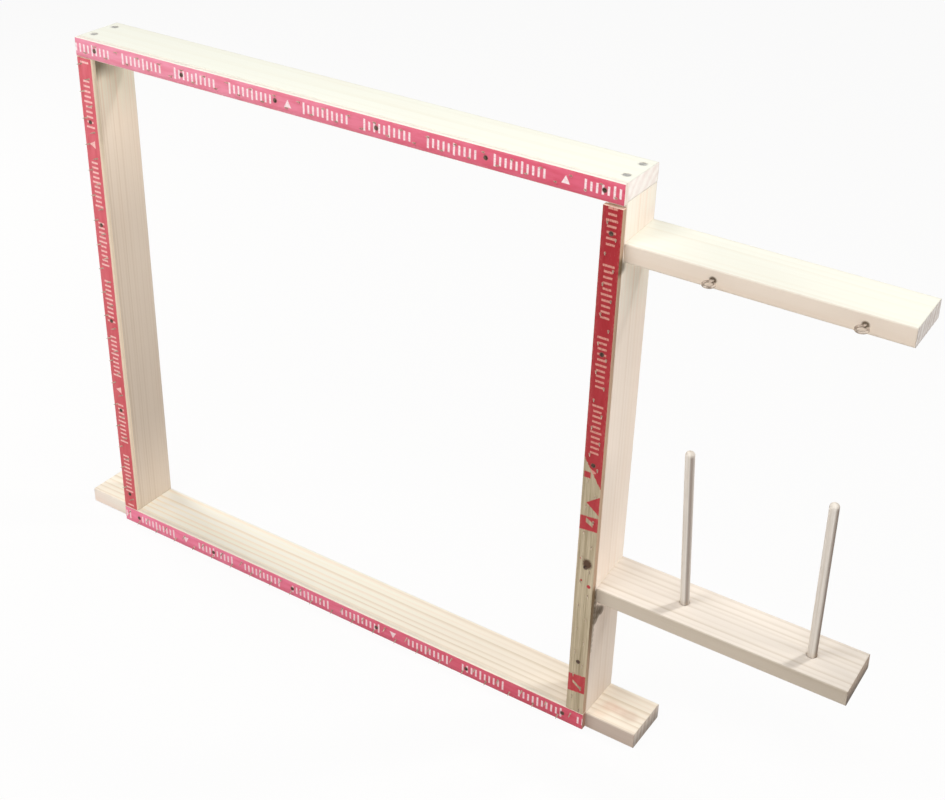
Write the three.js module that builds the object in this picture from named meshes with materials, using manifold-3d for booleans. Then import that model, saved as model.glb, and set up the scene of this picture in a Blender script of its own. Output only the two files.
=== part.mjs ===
// Table-top tufting frame.
// Four planed boards stand round an open window. A tack strip with leaning pins runs along each
// side of the front and holds the stretched cloth. A shelf on the right-hand stile carries two
// loose spindles for yarn cones, and an arm above it carries a thread eye over each spindle.
// Millimetres, +Z up, +X along the frame towards the shelf, -Y towards the person who tufts.
// The origin is at the underside of the base board, midway between the stiles and front to back.

import * as THREE from "three";
import { mergeVertices } from "three/addons/utils/BufferGeometryUtils.js";
import Module from "manifold-3d";

const wasm = await Module();
wasm.setup();

// Driving dimensions: the boards
const frameWidth = 696;
const stileLength = 620;
const boardDepth = 60;
const boardThickness = 20;
const boardEase = 1;
const leftFoot = 64;
const rightFoot = 61;

// Driving dimensions: the arm and the shelf, both of which hang a little nose-down.
// The arm's middle is set from the top of the stiles and the shelf's from the underside of the base.
const armLength = 280;
const armDrop = 50;
const armTilt = 3.5;
const armSetback = 1;
const shelfLength = 280;
const shelfHeight = 188;
const shelfTilt = 6.5;
const shelfSetback = 1.5;

// Driving dimensions: the tack strips and their pins
const stripWidth = 22;
const stripThickness = 6.5;
const leftStripTopGap = 0.5;
const rightStripTopGap = 3.5;
const stripFootGap = 0.5;
const pinPitch = 32;
const pinStart = 15.5;
const pinRowSpacing = 10;
const pinReach = 5;
const pinLean = 30;
const pinRadius = 0.8;
const pinTipRadius = 0.12;
const pinRoot = 1.5;
const pinSides = 5;

// Driving dimensions: the strip nails, which are evenly spread between the first and the last.
// Each strip's start is its left end at the top, its right end at the base, the left strip's foot
// and the right strip's head.
const longStripNailCount = 6;
const sideStripNailCount = 5;
const topNailStart = 29;
const topNailEnd = 21;
const baseNailStart = 26;
const baseNailEnd = 24;
const leftNailStart = 22;
const leftNailEnd = 76;
const rightNailStart = 26.5;
const rightNailEnd = 71;
const nailHeadRadius = 2.2;
const nailHeadThickness = 0.8;
const nailShankRadius = 1.1;
const nailLength = 16;
const nailTip = 2.5;
const nailSides = 8;

// Driving dimensions: the countersunk wood screws
const screwLength = 50;
const screwHeadRadius = 4;
const screwHeadRim = 0.4;
const screwHeadDepth = 2.6;
const screwShankRadius = 2;
const screwTip = 6;
const screwSink = 0.3;
const screwSpacing = 32;
const screwSides = 12;
const recessDepth = 1.9;
const recessRadius = 2.1;
const recessTipRadius = 0.5;
const recessSlenderness = 0.32;

// Driving dimensions: the spindles and the thread eyes over them
const innerSpindleStation = 89;
const outerSpindleStation = 231;
const innerSpindleFromFront = 30;
const outerSpindleFromFront = 29;
const innerSpindleLean = -1;
const outerSpindleLean = 0.9;
const spindleRadius = 5;
const spindleReach = 200;
const spindleTipHeight = 4;
const spindleTipAngles = [25, 50, 72];
const spindleFootChamfer = 1;
const spindleSides = 20;
const spindleClearance = 0.3;
const socketDepth = 15;
const innerEyeStation = 91;
const outerEyeStation = 235;
const eyeWireRadius = 1.3;
const eyeRingRadius = 5.5;
const eyeNeck = 3.5;
const eyeShank = 15;
const eyeFromUnderside = 9;
const eyeLoopStart = -55;
const eyeLoopSweep = 290;
const eyeLoopPoints = 20;
const eyeShankPoints = 4;
const eyeSteps = 40;
const eyeSides = 8;

// Clearance round a fastener in its hole
const fastenerGap = 0.3;

const degree = Math.PI / 180;
const halfWidth = frameWidth / 2;
const halfDepth = boardDepth / 2;
const frameHeight = stileLength + 2 * boardThickness;
const armHeight = boardThickness + stileLength - armDrop;
const sideStripRoom = frameHeight - 2 * stripWidth - stripFootGap;
const screwInset = boardThickness / 2;

const woodFinish = new THREE.MeshStandardMaterial({ color: 0xe2cfae, roughness: 0.75, metalness: 0 });
const dowelFinish = new THREE.MeshStandardMaterial({ color: 0xd9c6a6, roughness: 0.7, metalness: 0 });
const stripFinish = new THREE.MeshStandardMaterial({ color: 0xb8324a, roughness: 0.65, metalness: 0 });
const nailFinish = new THREE.MeshStandardMaterial({ color: 0x4a4038, roughness: 0.5, metalness: 0.8 });
const screwFinish = new THREE.MeshStandardMaterial({ color: 0x9a958c, roughness: 0.35, metalness: 0.9 });
const eyeFinish = new THREE.MeshStandardMaterial({ color: 0xb9b4aa, roughness: 0.3, metalness: 0.95 });

const tuftingFrame = new THREE.Group();

// Turns a closed geometry into a solid, leaving out triangles that collapse on an axis.
function solidOf(geometry) {
  const bare = geometry.clone();
  bare.deleteAttribute("normal");
  bare.deleteAttribute("uv");
  const merged = mergeVertices(bare, 1e-4);
  const source = merged.index.array;
  const kept = [];
  for (let i = 0; i < source.length; i += 3) {
    const [a, b, c] = [source[i], source[i + 1], source[i + 2]];
    if (a !== b && b !== c && c !== a) kept.push(a, b, c);
  }
  return new wasm.Manifold(new wasm.Mesh({
    numProp: 3,
    vertProperties: new Float32Array(merged.attributes.position.array),
    triVerts: new Uint32Array(kept),
  }));
}

function geometryOf(solid) {
  const { vertProperties, triVerts } = solid.getMesh();
  const geometry = new THREE.BufferGeometry();
  geometry.setAttribute("position", new THREE.BufferAttribute(vertProperties, 3));
  geometry.setIndex(new THREE.BufferAttribute(triVerts, 1));
  geometry.computeVertexNormals();
  return geometry;
}

function addPiece(parent, name, geometry, material) {
  const mesh = new THREE.Mesh(geometry, material);
  mesh.name = name;
  parent.add(mesh);
  return mesh;
}

// Cuts a host piece with a cutter that is given in the frame of the piece that goes in it.
function cutFor(host, guest, cutter) {
  const toHost = host.matrixWorld.clone().invert().multiply(guest.matrixWorld);
  const tool = solidOf(cutter.clone().applyMatrix4(toHost));
  host.geometry = geometryOf(solidOf(host.geometry).subtract(tool));
}

// A solid turned round its own Y axis from a profile of [radius, height] points, foot first.
function turned(profile, sides) {
  const points = profile.map(([radius, height]) => new THREE.Vector2(radius, height));
  return new THREE.LatheGeometry(points, sides);
}

// A board along +X from the given start, with its four long edges eased, centred front to back.
// Its section reaches from the given underside up by the board thickness.
function boardGeometry(start, length, underside) {
  const [front, back] = [-halfDepth, halfDepth];
  const top = underside + boardThickness;
  const section = new THREE.Shape();
  section.moveTo(front + boardEase, underside);
  section.lineTo(back - boardEase, underside);
  section.lineTo(back, underside + boardEase);
  section.lineTo(back, top - boardEase);
  section.lineTo(back - boardEase, top);
  section.lineTo(front + boardEase, top);
  section.lineTo(front, top - boardEase);
  section.lineTo(front, underside + boardEase);
  section.closePath();
  const geometry = new THREE.ExtrudeGeometry(section, { depth: length, bevelEnabled: false });
  const alongX = new THREE.Matrix4().makeBasis(
    new THREE.Vector3(0, 1, 0),
    new THREE.Vector3(0, 0, 1),
    new THREE.Vector3(1, 0, 0),
  );
  geometry.applyMatrix4(alongX);
  return geometry.translate(start, 0, 0);
}

// One side of the frame. In its own group the outer face is the plane z = 0 and +Z points outwards.
function addSide(turn, x, z) {
  const side = new THREE.Group();
  side.rotation.y = turn * degree;
  side.position.set(x, 0, z);
  tuftingFrame.add(side);
  return side;
}

// A pin that leans outwards from the strip's front face, rooted a little way into the ply.
function pinGeometry(x, z) {
  const length = pinRoot + pinReach / Math.cos(pinLean * degree);
  const pin = new THREE.CylinderGeometry(pinTipRadius, pinRadius, length, pinSides);
  pin.translate(0, length / 2 - pinRoot, 0);
  pin.rotateX(Math.PI - pinLean * degree);
  return pin.translate(x, -halfDepth - stripThickness, z);
}

// A plywood strip with two staggered rows of pins. The outer edge lies in the side's outer face.
function stripGeometry(start, length) {
  const ply = new THREE.BoxGeometry(length, stripThickness, stripWidth);
  ply.translate(start + length / 2, -halfDepth - stripThickness / 2, -stripWidth / 2);
  let strip = solidOf(ply);
  for (const row of [0, 1]) {
    const z = -stripWidth / 2 + (row - 0.5) * pinRowSpacing;
    for (let x = pinStart + row * pinPitch / 2; x < length - 2 * pinRadius; x += pinPitch) {
      strip = strip.add(solidOf(pinGeometry(start + x, z)));
    }
  }
  return geometryOf(strip);
}

// Fasteners stand along their own Y axis: the seat is at y = 0 and the point is below it.
function nailGeometry() {
  return turned([
    [0, -nailLength],
    [nailShankRadius, nailTip - nailLength],
    [nailShankRadius, 0],
    [nailHeadRadius, 0],
    [nailHeadRadius, nailHeadThickness],
    [0, nailHeadThickness],
  ], nailSides);
}

function nailHole() {
  const radius = nailShankRadius + fastenerGap;
  return turned([
    [0, -nailLength - fastenerGap],
    [radius, nailTip - nailLength - fastenerGap],
    [radius, nailHeadThickness],
    [0, nailHeadThickness],
  ], nailSides);
}

function screwGeometry() {
  const body = turned([
    [0, -screwLength],
    [screwShankRadius, screwTip - screwLength],
    [screwShankRadius, -screwHeadDepth],
    [screwHeadRadius, -screwHeadRim],
    [screwHeadRadius, 0],
    [0, 0],
  ], screwSides);
  let screw = solidOf(body);
  const blade = new THREE.CylinderGeometry(recessRadius, recessTipRadius, 2 * recessDepth, 4);
  blade.rotateY(Math.PI / 4);
  for (const turn of [0, 1]) {
    const arm = blade.clone().scale(Math.SQRT2, 1, recessSlenderness).rotateY(turn * Math.PI / 2);
    screw = screw.subtract(solidOf(arm));
  }
  return geometryOf(screw);
}

function screwHole() {
  const shank = screwShankRadius + fastenerGap;
  const head = screwHeadRadius + fastenerGap;
  return turned([
    [0, -screwLength - fastenerGap],
    [shank, screwTip - screwLength - fastenerGap],
    [shank, -screwHeadDepth - fastenerGap],
    [head, -screwHeadRim - fastenerGap],
    [head, 2 * screwSink],
    [0, 2 * screwSink],
  ], screwSides);
}

// Places a fastener with its seat at a point and its tip towards a direction, and cuts its hosts.
function drive(parent, name, geometry, material, hole, seat, direction, hosts) {
  const piece = addPiece(parent, name, geometry, material);
  piece.position.set(...seat);
  piece.quaternion.setFromUnitVectors(new THREE.Vector3(0, -1, 0), new THREE.Vector3(...direction));
  tuftingFrame.updateMatrixWorld(true);
  hosts.forEach((host) => cutFor(host, piece, hole));
  return piece;
}

// A tack strip on a side, with its nails through it into the board behind.
function addTackStrip({ label, side, board, start, length, nails, first, last }) {
  const strip = addPiece(side, `${label}_tack_strip`, stripGeometry(start, length), stripFinish);
  const pitch = (length - first - last) / (nails - 1);
  for (let i = 0; i < nails; i += 1) {
    const seat = [start + first + i * pitch, -halfDepth - stripThickness, -stripWidth / 2];
    drive(side, `${label}_nail_${i + 1}`, nailGeometry(), nailFinish, nailHole(),
      seat, [0, 1, 0], [strip, board]);
  }
}

// The base board in three stretches, so that the top of each foot is a face of its own for a clamp.
// Its group is turned over, so it runs from the right foot to the left one.
function baseBoardGeometry() {
  const stretches = [[-halfWidth - rightFoot, rightFoot], [-halfWidth, frameWidth], [halfWidth, leftFoot]];
  const solids = stretches.map(([start, length]) => solidOf(boardGeometry(start, length, -boardThickness)));
  return geometryOf(solids.reduce((board, stretch) => board.add(stretch)));
}

// The four sides: boards first, then their strips
const topSide = addSide(0, 0, frameHeight);
const baseSide = addSide(180, 0, 0);
const leftSide = addSide(-90, -halfWidth, 0);
const rightSide = addSide(90, halfWidth, 0);

const topRail = addPiece(
  topSide, "top_rail", boardGeometry(-halfWidth, frameWidth, -boardThickness), woodFinish);
const baseBoard = addPiece(baseSide, "base_board", baseBoardGeometry(), woodFinish);
const leftStile = addPiece(
  leftSide, "left_stile", boardGeometry(boardThickness, stileLength, -boardThickness), woodFinish);
const rightStile = addPiece(
  rightSide, "right_stile",
  boardGeometry(-boardThickness - stileLength, stileLength, -boardThickness), woodFinish);

const longStrip = { start: -halfWidth, length: frameWidth, nails: longStripNailCount };
addTackStrip({
  ...longStrip, label: "top", side: topSide, board: topRail, first: topNailStart, last: topNailEnd,
});
addTackStrip({
  ...longStrip, label: "base", side: baseSide, board: baseBoard, first: baseNailStart, last: baseNailEnd,
});
addTackStrip({
  label: "left", side: leftSide, board: leftStile, start: stripWidth + stripFootGap,
  length: sideStripRoom - leftStripTopGap, nails: sideStripNailCount, first: leftNailStart, last: leftNailEnd,
});
addTackStrip({
  label: "right", side: rightSide, board: rightStile, start: stripWidth + rightStripTopGap - frameHeight,
  length: sideStripRoom - rightStripTopGap, nails: sideStripNailCount, first: rightNailStart, last: rightNailEnd,
});

// Corner screws: down through the top rail and up through the base board into the stile ends
for (const [sideName, stile, x] of [
  ["left", leftStile, screwInset - halfWidth],
  ["right", rightStile, halfWidth - screwInset],
]) {
  for (const [place, y] of [["front", -screwSpacing / 2], ["back", screwSpacing / 2]]) {
    drive(tuftingFrame, `rail_screw_${sideName}_${place}`, screwGeometry(), screwFinish, screwHole(),
      [x, y, frameHeight - screwSink], [0, 0, -1], [topRail, stile]);
    drive(tuftingFrame, `base_screw_${sideName}_${place}`, screwGeometry(), screwFinish, screwHole(),
      [x, y, screwSink], [0, 0, 1], [baseBoard, stile]);
  }
}

// A board whose end butts against the right-hand stile, held by two screws from inside the stile.
// Its group's origin is at the middle of that end, and the group turns about X by the tilt.
function addBracketBoard(name, label, length, height, tilt, setback) {
  const bracket = new THREE.Group();
  bracket.position.set(halfWidth, setback, height);
  bracket.rotation.x = tilt * degree;
  tuftingFrame.add(bracket);
  const board = addPiece(bracket, name, boardGeometry(0, length, -boardThickness / 2), woodFinish);
  for (const [place, y] of [["front", -screwSpacing / 2], ["back", screwSpacing / 2]]) {
    drive(bracket, `${label}_screw_${place}`, screwGeometry(), screwFinish, screwHole(),
      [screwSink - boardThickness, y, 0], [1, 0, 0], [rightStile, board]);
  }
  return { bracket, board };
}

const arm = addBracketBoard("yarn_arm", "arm", armLength, armHeight, armTilt, armSetback);
const shelf = addBracketBoard("yarn_shelf", "shelf", shelfLength, shelfHeight, shelfTilt, shelfSetback);

// A dowel with a rounded nose and a chamfered foot. Its origin is where it enters the shelf.
function spindleGeometry() {
  const foot = spindleClearance - socketDepth;
  const shoulder = spindleReach - spindleTipHeight;
  const profile = [
    [0, foot],
    [spindleRadius - spindleFootChamfer, foot],
    [spindleRadius, foot + spindleFootChamfer],
    [spindleRadius, shoulder],
  ];
  for (const angle of spindleTipAngles) {
    profile.push([
      spindleRadius * Math.cos(angle * degree),
      shoulder + spindleTipHeight * Math.sin(angle * degree),
    ]);
  }
  profile.push([0, spindleReach]);
  return turned(profile, spindleSides).rotateX(Math.PI / 2);
}

function spindleSocket() {
  const radius = spindleRadius + spindleClearance;
  const mouth = spindleRadius;
  return turned([[0, -socketDepth], [radius, -socketDepth], [radius, mouth], [0, mouth]], spindleSides)
    .rotateX(Math.PI / 2);
}

// A wire screw eye: a straight shank that runs into an open loop whose end stops at the neck.
function eyeWire() {
  const ringCentre = eyeNeck + eyeRingRadius;
  const points = [];
  for (let i = 0; i <= eyeShankPoints; i += 1) points.push([0, (i / eyeShankPoints - 1) * eyeShank]);
  for (let i = 0; i <= eyeLoopPoints; i += 1) {
    const angle = (eyeLoopStart + eyeLoopSweep * i / eyeLoopPoints) * degree;
    points.push([eyeRingRadius * Math.cos(angle), ringCentre + eyeRingRadius * Math.sin(angle)]);
  }
  return new THREE.CatmullRomCurve3(points.map(([x, y]) => new THREE.Vector3(x, y, 0)));
}

function wireGeometry(path, radius, steps) {
  const section = new THREE.Shape();
  for (let i = 0; i < eyeSides; i += 1) {
    const angle = (i + 0.5) * 2 * Math.PI / eyeSides;
    section[i ? "lineTo" : "moveTo"](radius * Math.cos(angle), radius * Math.sin(angle));
  }
  section.closePath();
  return new THREE.ExtrudeGeometry(section, { steps, extrudePath: path, bevelEnabled: false });
}

function eyeHole() {
  const radius = eyeWireRadius + fastenerGap;
  const foot = -eyeShank - fastenerGap;
  return turned([[0, foot], [radius, foot], [radius, eyeWireRadius], [0, eyeWireRadius]], eyeSides);
}

// Each spindle in its socket, with its thread eye in the arm's front edge above it
for (const [label, station, fromFront, lean, eyeStation] of [
  ["inner", innerSpindleStation, innerSpindleFromFront, innerSpindleLean, innerEyeStation],
  ["outer", outerSpindleStation, outerSpindleFromFront, outerSpindleLean, outerEyeStation],
]) {
  const spindle = addPiece(shelf.bracket, `${label}_spindle`, spindleGeometry(), dowelFinish);
  spindle.position.set(station, fromFront - halfDepth, boardThickness / 2);
  spindle.rotation.y = lean * degree;
  tuftingFrame.updateMatrixWorld(true);
  cutFor(shelf.board, spindle, spindleSocket());

  const eyeSeat = [eyeStation, -halfDepth, eyeFromUnderside - boardThickness / 2];
  drive(arm.bracket, `${label}_thread_eye`, wireGeometry(eyeWire(), eyeWireRadius, eyeSteps), eyeFinish,
    eyeHole(), eyeSeat, [0, 1, 0], [arm.board]);
}

export default tuftingFrame;
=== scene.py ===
"""Looks of a table-top tufting frame: planed pine boards, printed tack strips, dowels and steel fasteners."""
import math
import random

import bmesh
import bpy
from mathutils import Matrix, Vector, noise


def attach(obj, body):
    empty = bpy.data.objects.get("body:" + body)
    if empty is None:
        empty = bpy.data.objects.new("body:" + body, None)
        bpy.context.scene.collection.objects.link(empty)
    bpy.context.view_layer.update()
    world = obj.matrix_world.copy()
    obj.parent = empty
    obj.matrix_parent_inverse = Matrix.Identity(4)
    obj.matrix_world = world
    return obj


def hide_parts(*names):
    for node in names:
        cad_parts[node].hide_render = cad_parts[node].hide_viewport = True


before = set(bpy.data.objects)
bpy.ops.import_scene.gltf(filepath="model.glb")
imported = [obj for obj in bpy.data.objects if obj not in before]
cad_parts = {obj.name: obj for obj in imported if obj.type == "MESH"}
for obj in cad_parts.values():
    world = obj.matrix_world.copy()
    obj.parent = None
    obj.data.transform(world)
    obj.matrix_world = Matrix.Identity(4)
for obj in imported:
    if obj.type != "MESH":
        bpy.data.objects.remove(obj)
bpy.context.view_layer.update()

MM = 0.001

# Sizes of the model, in millimetres and degrees
FRAME_WIDTH, FRAME_HEIGHT = 696, 660
HALF_WIDTH = FRAME_WIDTH / 2
BOARD_DEPTH, BOARD_THICKNESS = 60, 20
STRIP_WIDTH, STRIP_THICKNESS = 22, 6.5
LEFT_STRIP_LENGTH, RIGHT_STRIP_LENGTH = 615, 612
RIGHT_STRIP_TOP_GAP, STRIP_FOOT_GAP = 3.5, 0.5
STRIP_FACE = -BOARD_DEPTH / 2 - STRIP_THICKNESS
PIN_PITCH, PIN_START, PIN_ROW_SPACING, PIN_REACH, PIN_LEAN, PIN_RADIUS = 32, 15.5, 10, 5, 30, 0.8
SCREW_SPREAD, SCREW_SINK = 16, 0.3
ARM = {"height": 590, "tilt": 3.5, "setback": 1}
SHELF = {"height": 188, "tilt": 6.5, "setback": 1.5}
# Station along the shelf, place from its front edge, and lean in degrees
SPINDLES = {"inner": (89, 30, -1), "outer": (231, 29, 0.9)}
SPINDLE_RADIUS, SPINDLE_REACH, SPINDLE_FOOT, SPINDLE_TIP = 5, 200, -14.7, 4
EYE_STATIONS = {"inner": 91, "outer": 235}
EYE_WIRE, EYE_RING, EYE_NECK, EYE_SHANK, EYE_FROM_UNDERSIDE = 1.3, 5.5, 3.5, 15, 9


def srgb(*values):
    """Linear colour of 0-255 display values."""
    linear = [v / 255 / 12.92 if v <= 10 else ((v / 255 + 0.055) / 1.055) ** 2.4 for v in values]
    return (*linear, 1.0)


def tinted(colour, *factors):
    return tuple(c * f for c, f in zip(colour[:3], factors)) + (1.0,)


# Shader writing


class Term:
    """A value in a shader, so that nodes can be written as arithmetic."""

    def __init__(self, graph, socket):
        self.graph, self.socket = graph, socket

    def __add__(self, other):
        return self.graph.math("ADD", self, other)

    def __sub__(self, other):
        return self.graph.math("SUBTRACT", self, other)

    def __rsub__(self, other):
        return self.graph.math("SUBTRACT", other, self)

    def __mul__(self, other):
        return self.graph.math("MULTIPLY", self, other)

    def __truediv__(self, other):
        return self.graph.math("DIVIDE", self, other)


class Graph:
    """One material's nodes."""

    def __init__(self, name, metallic=0.0, specular=0.5):
        self.material = bpy.data.materials.new(name)
        self.material.use_nodes = True
        self.tree = self.material.node_tree
        self.tree.nodes.clear()
        self.shader = self.tree.nodes.new("ShaderNodeBsdfPrincipled")
        self.shader.inputs["Metallic"].default_value = metallic
        self.shader.inputs["Specular IOR Level"].default_value = specular
        output = self.tree.nodes.new("ShaderNodeOutputMaterial")
        self.tree.links.new(self.shader.outputs[0], output.inputs["Surface"])
        self.geometry = self.tree.nodes.new("ShaderNodeNewGeometry")
        self.place = self.tree.nodes.new("ShaderNodeTexCoord").outputs["Object"]

    def feed(self, socket, value):
        if isinstance(value, Term):
            value = value.socket
        if isinstance(value, bpy.types.NodeSocket):
            self.tree.links.new(value, socket)
        else:
            socket.default_value = value

    def node(self, kind, inputs, **settings):
        made = self.tree.nodes.new(kind)
        for key, value in settings.items():
            setattr(made, key, value)
        for key, value in inputs.items():
            self.feed(made.inputs[key], value)
        return made

    def math(self, operation, *values):
        made = self.node("ShaderNodeMath", dict(enumerate(values)), operation=operation)
        return Term(self, made.outputs[0])

    def distance(self, *offsets):
        total = offsets[0] * offsets[0]
        for offset in offsets[1:]:
            total = total + offset * offset
        return self.math("SQRT", total)

    def axes(self, vector=None):
        split = self.node("ShaderNodeSeparateXYZ", {0: vector or self.place})
        return [Term(self, split.outputs[i]) for i in range(3)]

    def vector(self, x, y, z):
        return self.node("ShaderNodeCombineXYZ", {0: x, 1: y, 2: z}).outputs[0]

    def noise(self, vector, detail, roughness=0.5):
        made = self.node("ShaderNodeTexNoise", {
            "Vector": vector, "Scale": 1.0, "Detail": detail, "Roughness": roughness})
        return Term(self, made.outputs[0])

    def chance(self, value):
        made = self.node("ShaderNodeTexWhiteNoise", {"W": value}, noise_dimensions="1D")
        return Term(self, made.outputs["Value"])

    def ramp(self, value, low, high, start=0.0, end=1.0):
        made = self.node("ShaderNodeMapRange", {
            "Value": value, "From Min": low, "From Max": high, "To Min": start, "To Max": end,
        }, interpolation_type="SMOOTHSTEP")
        return Term(self, made.outputs[0])

    def between(self, value, low, high, soft):
        """1 between two values, with soft limits."""
        return self.ramp(value, low - soft, low + soft) * self.ramp(value, high - soft, high + soft, 1.0, 0.0)

    def mix(self, factor, a, b, blend="MIX"):
        made = self.node("ShaderNodeMix", {0: factor, 6: a, 7: b}, data_type="RGBA", blend_type=blend)
        return made.outputs[2]

    def times(self, colour, factor):
        return self.mix(1.0, colour, factor, "MULTIPLY")

    def bump(self, height, distance, strength, normal=None):
        inputs = {"Height": height, "Distance": distance, "Strength": strength}
        if normal is not None:
            inputs["Normal"] = normal
        return self.node("ShaderNodeBump", inputs).outputs[0]

    def rounded(self, radius):
        """Normal of the eased edge, and how far the surface is on an edge."""
        eased = self.node("ShaderNodeBevel", {"Radius": radius}, samples=4).outputs[0]
        flat = self.geometry.outputs["True Normal"]
        agree = self.node("ShaderNodeVectorMath", {0: eased, 1: flat}, operation="DOT_PRODUCT")
        return eased, self.ramp(Term(self, agree.outputs["Value"]), 0.995, 0.80)

    def finish(self, colour, roughness, normal):
        self.feed(self.shader.inputs["Base Color"], colour)
        self.feed(self.shader.inputs["Roughness"], roughness)
        self.feed(self.shader.inputs["Normal"], normal)
        return self.material


# However the tones add up, wood gives back no more than this share of the light
WOOD_LIMIT = (0.96, 0.91, 0.83, 1.0)
# Brown of the painted shade patches
PAINTED_SHADE_BROWN = srgb(88, 71, 44)


def growth_rings(g, length, a, b, pith, ring, rise, fall, seed):
    """Place within a year's growth, and share of latewood, round a pith line that wanders a little."""
    wander = (g.noise(g.vector(length * 3.1 + seed, a * 9, b * 9), detail=3.0) - 0.5) * 0.0036
    ripple = g.noise(g.vector(length * 16 + seed, a * 60, b * 60), detail=2.0)
    reach = g.distance(a - pith[0], b - pith[1]) + wander + (ripple - 0.5) * 0.0007
    turn = reach * (1 / ring) + seed
    spread = g.noise(g.vector(turn * 0.45, seed, 0.0), detail=1.0)
    turn = turn + (spread - 0.5) * 1.1
    part = g.math("FRACT", turn)
    late = g.ramp(part, rise, 0.80) * g.ramp(part, fall, 1.0, 1.0, 0.0)
    return part, late * (g.chance(g.math("FLOOR", turn) + seed) * 0.9 + 0.25)


def add_stains_and_shade(g, colour, stains_and_shade, place, streak):
    """Round patches of stain and of painted shade on the wood, each (x, y, z, radius, softness, strength).

    A patch that also has its own colour is a stain and follows the grain; one without is painted shade in its
    brown."""
    for x, y, z, radius, soft, strength, *own in stains_and_shade:
        away = g.distance(place[0] - x, place[1] - y, place[2] - z) + (streak - 0.5) * 0.001
        share = g.ramp(away, radius, radius + soft, strength, 0.0)
        if own:
            share = share * g.ramp(streak, 0.35, 0.60, 0.4, 1.0)
        colour = g.mix(share, colour, own[0] if own else PAINTED_SHADE_BROWN)
    return colour


def end_grain(g, length, a, b, part, pores, pale, dark):
    """A sawn end: the rings show stronger, with open pores and blade marks."""
    broad = g.ramp(part, 0.0, 0.5) * g.ramp(part, 0.5, 1.0, 1.0, 0.0)
    blotch = g.noise(g.vector(length * 40, a * 150, b * 150), detail=3.0)
    share = broad * 0.55 + (pores - 0.5) * 0.5 + (blotch - 0.5) * 1.2 + 0.12
    return g.mix(g.ramp(share, 0.0, 0.9), pale, dark)


def pine(name, along, pith, ring, seed, pale, dark, contrast, end=None, pink=0.0, rise=0.10, fall=0.88,
         end_dark=(0.74, 0.66, 0.62), end_fall=(0.0, 0.01, 1.0), narrow=((1, 1, 1), (1, 1, 1)),
         painted_shading=((0.0, 1.0),), stains_and_shade=()):
    """Planed softwood: growth rings round a pith line, fibres along the board, a sawn end grain.

    along is the board's axis, pith the place of its pith across it, ring the width of a year's growth, and
    rise and fall say where in a year the dark latewood starts and ends. The narrow front and back faces
    take their own painted light and shade at each end (narrow). Painted light and shade runs along the board
    through (place, factor) stops. The sawn ends get painted shade downwards through end_fall: low height,
    high height, factor at the low one."""
    g = Graph(name, specular=0.35)
    x, y, z = g.axes()
    length, a, b = {"X": (x, y, z), "Z": (z, x, y)}[along]
    part, late = growth_rings(g, length, a, b, pith, ring, rise, fall, seed)
    fibre = g.noise(g.vector(length * 14 + seed, a * 950, b * 950), detail=3.0, roughness=0.65)
    streak = g.noise(g.vector(length * 3 + seed, a * 230, b * 230), detail=2.0, roughness=0.6)
    cloud = g.noise(g.vector(length * 5, a * 22, b * 22 + seed), detail=2.0)
    pores = g.noise(g.vector(length * 200, a * 2600, b * 2600), detail=2.0)

    grain = late * contrast + (streak - 0.5) * 0.40 + (fibre - 0.5) * 0.26 + 0.06
    colour = g.mix(g.ramp(grain, 0.0, 1.0), pale, dark)
    colour = g.mix(g.ramp(cloud, 0.48, 0.80, 0.0, 0.12 + pink), colour, tinted(pale, 0.97, 0.82, 0.70))

    facing = g.axes(g.geometry.outputs["True Normal"])
    # Painted light and shade on the narrow front and back faces, from one end's factor to the other's
    face_painted_shading = g.mix(g.ramp(length, -0.30, 0.30), (*narrow[0], 1.0), (*narrow[1], 1.0))
    face_painted_shading = g.mix(g.ramp(g.math("ABSOLUTE", facing[1]), 0.5, 0.9), (1.0, 1.0, 1.0, 1.0), face_painted_shading)
    colour = g.times(colour, face_painted_shading)
    # Painted light and shade along the board, through the stops
    tone = g.math("MULTIPLY", painted_shading[0][1], 1.0)
    for (start, low), (stop, high) in zip(painted_shading, painted_shading[1:]):
        tone = tone * g.ramp(length, start, stop, 1.0, high / low)
    colour = g.times(colour, g.vector(tone, tone, tone))
    colour = g.mix(1.0, colour, WOOD_LIMIT, "DARKEN")
    colour = add_stains_and_shade(g, colour, stains_and_shade, (x, y, z), streak)

    sawn = g.ramp(g.math("ABSOLUTE", facing[0 if along == "X" else 2]), 0.6, 0.9)
    end = end or tinted(pale, 0.80, 0.80, 0.80)
    ends = end_grain(g, length, a, b, part, pores, end, tinted(end, *end_dark))
    # Painted shade down the sawn ends, darkest at the bottom
    end_painted_shade = g.ramp(z, end_fall[0], end_fall[1], end_fall[2], 1.0)
    colour = g.mix(sawn, colour, g.times(ends, g.vector(end_painted_shade, end_painted_shade, end_painted_shade)))

    # Handled edges are burnished a little and carry some grime
    eased, edge = g.rounded(2.6 * MM)
    smudge = g.noise(g.vector(x * 40, y * 40, z * 40), detail=3.0)
    worn = edge * g.ramp(smudge, 0.35, 0.70)
    colour = g.mix(worn * 0.35, colour, tinted(pale, 0.80, 0.72, 0.62))

    height = late * -0.35 + (fibre - 0.5) * 0.5 + (pores - 0.5) * sawn * 1.2
    roughness = g.ramp(fibre, 0.2, 0.8, 0.52, 0.68) + sawn * 0.12 - worn * 0.10
    return g.finish(colour, roughness, g.bump(height, 0.12 * MM, 0.55, eased))


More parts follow.
